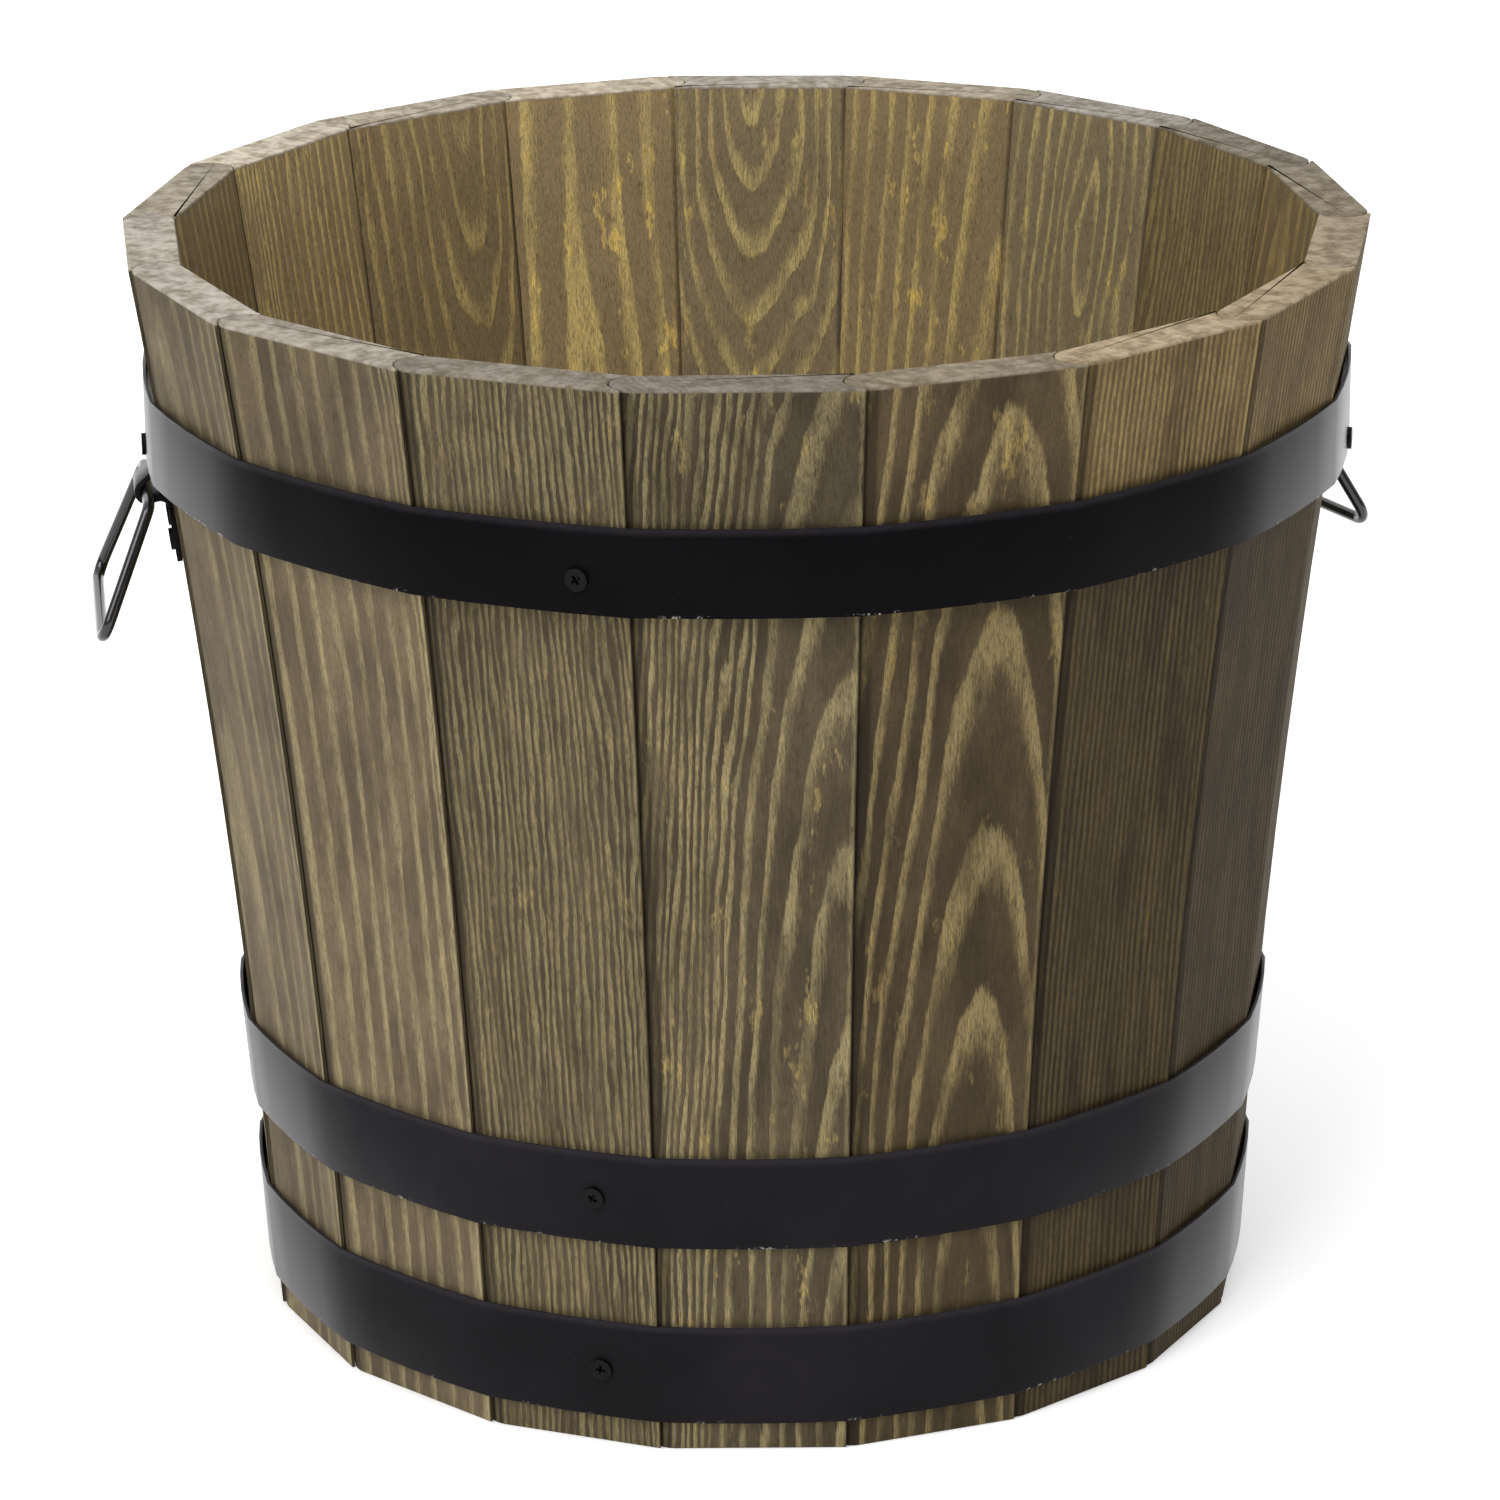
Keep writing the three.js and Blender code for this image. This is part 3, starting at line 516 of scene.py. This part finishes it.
def band_black(name, low_edge, high_edge, dark, pale):
    material, steel, shader = new_finish(name)
    mm = 1 / MM
    place = steel.add("ShaderNodeTexCoord", output=3)
    cloud = place.noise(9.0, 4.0, 0.6)
    dust = place.noise(900.0, 2.0, 0.7)
    skin = place.noise(240.0, 3.0, 0.6)
    face = cloud.between(0.3, 0.7).mixed(dark, pale)
    specks = dust.between(0.70, 0.78)
    face = (specks * 0.10).mixed(face, colour(150, 146, 140))
    split = steel.add("ShaderNodeSeparateXYZ", None, {0: place}, 2)
    rise = (split - low_edge) * mm
    ragged = place.noise(260.0, 4.0, 0.75)
    patchy = place.noise(26.0, 2.0, 0.6)
    chipped = (1 - rise.between(0.1, 1.3)) * ragged.between(0.56, 0.62) * patchy.between(0.48, 0.6)
    face = (chipped * 0.8).mixed(face, colour(168, 164, 156))
    # painted highlight: the top 3 mm of the band made lighter, as if its curled upper edge caught the
    # light
    painted_top_highlight = (split - high_edge + 3 * MM).between(0, 2.4 * MM) * (skin * 0.6 + 0.3)
    face = (painted_top_highlight * 0.5).clamped().mixed(face, colour(58, 55, 60))
    link(steel, face, shader, "Base Color")
    link(steel, 0.36 + cloud * 0.1 + chipped * 0.3, shader, "Roughness")
    edge_on = steel.add("ShaderNodeLayerWeight", None, {"Blend": 0.5}, 1)
    link(steel, edge_on.between(0.35, 0.95), shader, "Coat Weight")
    shader.inputs["Coat Roughness"].default_value = 0.38
    bump = steel.add("ShaderNodeBump", None, {"Strength": 0.35, "Distance": 0.12 * MM, "Height": skin})
    link(steel, bump, shader, "Normal")
    shader.inputs["Specular IOR Level"].default_value = 0.04
    return material


HOOP_BEVEL = 0.5 * MM
# the lower two bands get a lighter black than the top one, a painted reflection of the floor that they
# lean towards
HOOP_BLACKS_WITH_PAINTED_REFLECTION = {
    "hoop_top": (colour(6, 5, 7), colour(13, 12, 14)),
    "hoop_middle": (colour(22, 21, 23), colour(32, 30, 33)),
    "hoop_bottom": (colour(22, 21, 23), colour(32, 30, 33)),
}
for node, (dark, pale) in HOOP_BLACKS_WITH_PAINTED_REFLECTION.items():
    low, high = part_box(node)
    coating = band_black(node + "_black", low.z, high.z, dark, pale)
    softened_copy(node, "pressed_" + node, "planter", coating, HOOP_BEVEL, segments=3)


# ---- Brackets ----
# A bent strap on each side: a wide leaf screwed to its stave, an eye for the bail's rod, and a
# narrow leaf tucked up behind the top hoop and pinned by one of its screws.

bracket_black = band_black("bracket_black", -1.0, 1.0, colour(16, 15, 17), colour(26, 25, 27))
for side in ("left", "right"):
    softened_copy(f"bracket_{side}", f"bent_bracket_{side}", "planter", bracket_black,
                  0.3 * MM)


# ---- Screws ----
# Black pan-head wood screws with a cross recess: round each hoop and in its lap, two in each
# bracket's wide leaf, and eight up through the battens. Each stops at its own angle.

HEAD_RADIUS = 4 * MM
HEAD_HEIGHT = 2.2 * MM
SHANK_RADIUS = 1.9 * MM
SHANK_LENGTH = 6 * MM


def screw_black():
    material, steel, shader = new_finish("screw_black")
    place = steel.add("ShaderNodeTexCoord", output=3)
    grit = place.noise(700.0, 3.0, 0.6)
    face = grit.between(0.35, 0.7).mixed(colour(5, 5, 6), colour(12, 12, 13))
    link(steel, face, shader, "Base Color")
    link(steel, 0.3 + grit * 0.2, shader, "Roughness")
    shader.inputs["Specular IOR Level"].default_value = 0.12
    bump = steel.add("ShaderNodeBump", None, {"Strength": 0.4, "Distance": 0.08 * MM, "Height": grit})
    link(steel, bump, shader, "Normal")
    return material


def make_screw():
    """A screw along +z, the underside of its head at the origin."""
    deselect()
    bpy.ops.mesh.primitive_cylinder_add(vertices=32, radius=HEAD_RADIUS, depth=HEAD_HEIGHT,
                                        location=(0, 0, HEAD_HEIGHT / 2))
    screw = bpy.context.object
    edit("EDGE")
    pick(screw, "edges", lambda place, edge: min(v.co.z for v in edge.verts) > 0.9 * HEAD_HEIGHT)
    bpy.ops.mesh.bevel(offset=1.6 * MM, segments=6, affect="EDGES")
    bpy.ops.mesh.select_mode(type="FACE")
    pick(screw, "faces", lambda place, face: face.normal.z < -0.9)
    bpy.ops.mesh.inset(thickness=HEAD_RADIUS - SHANK_RADIUS, depth=0)
    bpy.ops.mesh.extrude_region_move(TRANSFORM_OT_translate={"value": (0, 0, -SHANK_LENGTH)})
    bpy.ops.transform.resize(value=(0.1, 0.1, 1))
    bpy.ops.object.mode_set(mode="OBJECT")
    for turn in (0, radians(90)):
        deselect()
        bpy.ops.mesh.primitive_cone_add(vertices=4, radius1=1.2 * MM, radius2=3.7 * MM, depth=2.6 * MM,
                                        location=(0, 0, HEAD_HEIGHT - 0.2 * MM),
                                        rotation=(0, 0, radians(45)))
        blade = bpy.context.object
        bpy.ops.object.transform_apply(location=True, rotation=True, scale=True)
        blade.scale = (1, 0.3, 1)
        blade.rotation_euler.z = turn
        apply_modifier(screw, "BOOLEAN", operation="DIFFERENCE", solver="EXACT", object=blade)
        bpy.data.objects.remove(blade)
    screw.select_set(True)
    bpy.ops.object.shade_smooth_by_angle(angle=radians(40))
    return screw


screw_steel = screw_black()
screw_pattern = make_screw()
screw_pattern.data.materials.append(screw_steel)
screw_nodes = sorted(node for node in frame["nodes"] if "_screw_" in node)
for count, node in enumerate(screw_nodes):
    places = {tuple(round(c, 6) for c in v.co) for v in frame["nodes"][node].data.vertices}
    corners = [Vector(place) for place in sorted(places)]
    middle = sum(corners, Vector()) / len(corners)
    reach = max((corner - middle).length for corner in corners)
    tip_ring = [corner for corner in corners if (corner - middle).length > reach - 0.02 * MM]
    tip = sum(tip_ring, Vector()) / len(tip_ring)
    along = (middle - tip).normalized()
    wide = [corner for corner in corners if (corner - tip).cross(along).length > 0.95 * HEAD_RADIUS]
    seat = tip + along * min((corner - tip).dot(along) for corner in wide)
    screw = screw_pattern.copy()
    screw.data = screw_pattern.data.copy()
    bpy.context.scene.collection.objects.link(screw)
    turned = Matrix.Rotation(radians(67 * count % 90), 4, "Z")
    aimed = along.to_track_quat("Z", "Y").to_matrix().to_4x4()
    screw.matrix_world = Matrix.Translation(seat) @ aimed @ turned
    settle(screw, "driven_" + node, "planter", node)
bpy.data.objects.remove(screw_pattern)


# ---- Bails ----
# Round steel rod in gloss black, bent to a trapezoid loop that hangs from the bracket's eye, with its
# two ends meeting inside the eye. Half is bent and mirrored.

ROD_RADIUS = 2.16 * MM
TOP_HALF_WIDTH = 28 * MM
BOTTOM_HALF_WIDTH = 40.5 * MM
BAIL_DROP = 49 * MM
TOP_BEND = 4 * MM
BOTTOM_BEND = 6.4 * MM
ROD_END_GAP = 0.4 * MM
EYE_REACH = 8.9 * MM
LEG_TURN = atan2(BAIL_DROP, BOTTOM_HALF_WIDTH - TOP_HALF_WIDTH)


def rod_black():
    material, steel, shader = new_finish("rod_black")
    place = steel.add("ShaderNodeTexCoord", output=3)
    skin = place.noise(160.0, 3.0, 0.6)
    face = skin.between(0.3, 0.7).mixed(colour(14, 13, 15), colour(24, 23, 25))
    link(steel, face, shader, "Base Color")
    link(steel, 0.16 + skin * 0.12, shader, "Roughness")
    bump = steel.add("ShaderNodeBump", None, {"Strength": 0.3, "Distance": 0.1 * MM, "Height": skin})
    link(steel, bump, shader, "Normal")
    shader.inputs["Coat Weight"].default_value = 0.4
    shader.inputs["Coat Roughness"].default_value = 0.08
    return material


def make_bail():
    """A bail in its own frame: y along its pivot, hanging to -z."""
    deselect()
    bpy.ops.mesh.primitive_circle_add(vertices=20, radius=ROD_RADIUS, fill_type="NGON",
                                      location=(0, ROD_END_GAP / 2, 0), rotation=(radians(90), 0, 0))
    bail = bpy.context.object
    bpy.ops.object.transform_apply(location=True, rotation=True, scale=True)
    edit("FACE")
    bpy.ops.mesh.select_all(action="SELECT")
    legwise = Vector((0, cos(LEG_TURN), -sin(LEG_TURN)))
    top_set_back = TOP_BEND * tan(LEG_TURN / 2)
    bottom_turn = pi - LEG_TURN
    bottom_set_back = BOTTOM_BEND * tan(bottom_turn / 2)
    leg_length = sqrt(BAIL_DROP ** 2 + (BOTTOM_HALF_WIDTH - TOP_HALF_WIDTH) ** 2)

    bar = TOP_HALF_WIDTH - top_set_back - ROD_END_GAP / 2
    bpy.ops.mesh.extrude_region_move(TRANSFORM_OT_translate={"value": (0, bar, 0)})
    bpy.ops.mesh.spin(steps=8, angle=LEG_TURN, axis=(1, 0, 0),
                      center=(0, TOP_HALF_WIDTH - top_set_back, -TOP_BEND))
    leg = legwise * (leg_length - top_set_back - bottom_set_back)
    bpy.ops.mesh.extrude_region_move(TRANSFORM_OT_translate={"value": leg})
    bpy.ops.mesh.spin(steps=12, angle=bottom_turn, axis=(1, 0, 0),
                      center=(0, BOTTOM_HALF_WIDTH - bottom_set_back, BOTTOM_BEND - BAIL_DROP))
    last = BOTTOM_HALF_WIDTH - bottom_set_back
    bpy.ops.mesh.extrude_region_move(TRANSFORM_OT_translate={"value": (0, -last, 0)})
    bpy.ops.mesh.delete(type="FACE")
    bpy.ops.object.mode_set(mode="OBJECT")
    apply_modifier(bail, "MIRROR", use_axis=(False, True, False), merge_threshold=0.05 * MM)
    edit()
    bpy.ops.mesh.select_all(action="SELECT")
    bpy.ops.mesh.normals_make_consistent(inside=False)
    bpy.ops.object.mode_set(mode="OBJECT")
    bpy.ops.object.shade_smooth_by_angle(angle=radians(50))
    return bail


gloss_black = rod_black()
HANDLES = [
    {"side": "left", "board": 0, "along": 0, "pivot": 310.7 * MM, "lean": 22.2},
    {"side": "right", "board": 10, "along": -15 * MM, "pivot": 305.3 * MM, "lean": 27.2},
]
for handle in HANDLES:
    board = boards[handle["board"]]
    bail = make_bail()
    bail.data.materials.append(gloss_black)
    pivot = Vector((corner_radius(handle["pivot"]) * cos(board["half"]) + EYE_REACH,
                    handle["along"], handle["pivot"]))
    pivot.rotate(Matrix.Rotation(board["facing"], 3, "Z"))
    bail.location = pivot
    bail.rotation_euler = (0, -radians(handle["lean"]), board["facing"])
    settle(bail, f"bent_bail_{handle['side']}", f"{handle['side']}_bail", f"bail_{handle['side']}")


# ---- Floor, light and camera ----
# A white floor that runs out of sight, a wide soft light from the front left, a weaker one from
# above, and a surround that is white behind the planter and dim in front of it.

FLOOR_WIDTH = 40
FLOOR_GLOW = 0.22

deselect()
bpy.ops.mesh.primitive_plane_add(size=FLOOR_WIDTH, location=(0, 0, 0))
floor = bpy.context.object
floor.name = "floor"
material, paint, shader = new_finish("white_floor")
shader.inputs["Base Color"].default_value = (0.92, 0.92, 0.92, 1)
shader.inputs["Roughness"].default_value = 0.9
shader.inputs["Specular IOR Level"].default_value = 0.1
shader.inputs["Emission Strength"].default_value = FLOOR_GLOW


def seen_rays(finish):
    """1 for rays straight from the camera, and 1 for those off metal or through glass."""
    rays = finish.add("ShaderNodeLightPath")
    outputs = rays.socket.node.outputs
    straight, glossy, through = (Finish(finish.tree, outputs[name]) for name in
                                 ("Is Camera Ray", "Is Glossy Ray", "Is Transmission Ray"))
    return straight, (glossy + through).clamped()


straight, reflected = seen_rays(paint)
link(paint, straight + reflected, shader, "Emission Color")
floor.data.materials.append(material)

# the surround, all white where it is seen
world = bpy.data.worlds.new("surround")
bpy.context.scene.world = world
world.use_nodes = True
sky = Finish(world.node_tree)
background = world.node_tree.nodes["Background"]
background.inputs["Color"].default_value = (1, 1, 1, 1)
toward = sky.add("ShaderNodeTexCoord")
toward_parts = sky.add("ShaderNodeSeparateXYZ", None, {0: toward})
back = Finish(sky.tree, toward_parts.socket.node.outputs[1])
up = Finish(sky.tree, toward_parts.socket.node.outputs[2])
surround = 0.16 + back.between(-0.35, 0.55) * 0.5 + up.between(0.3, 0.9) * 0.34
straight, reflected = seen_rays(sky)
seen = (straight + reflected * back.between(0.1, 0.6)).clamped()
strength = surround + seen * (1 - surround)
world.node_tree.links.new(strength.socket, background.inputs["Strength"])

bpy.ops.object.light_add(type="SUN", rotation=(radians(52), 0, radians(-40)))
key = bpy.context.object
key.data.energy = 2.1
key.data.angle = radians(45)
bpy.ops.object.light_add(type="SUN", rotation=(radians(20), radians(15), 0))
overhead = bpy.context.object
overhead.data.energy = 1.2
overhead.data.angle = radians(60)

CAMERA_PLACE = (0, -2.2828, 0.9964)
CAMERA_TILT = radians(90 - 19.258)
CAMERA_ROLL = -0.00913
CAMERA_LENS = 157.1
camera_data = bpy.data.cameras.new("camera")
camera = bpy.data.objects.new("camera", camera_data)
bpy.context.scene.collection.objects.link(camera)
camera_data.lens = CAMERA_LENS
camera_data.sensor_width = 36
camera.matrix_world = (
    Matrix.Translation(CAMERA_PLACE) @ Matrix.Rotation(CAMERA_TILT, 4, "X")
    @ Matrix.Rotation(CAMERA_ROLL, 4, "Z"))
bpy.context.scene.camera = camera
bpy.context.scene.view_settings.view_transform = "Standard"
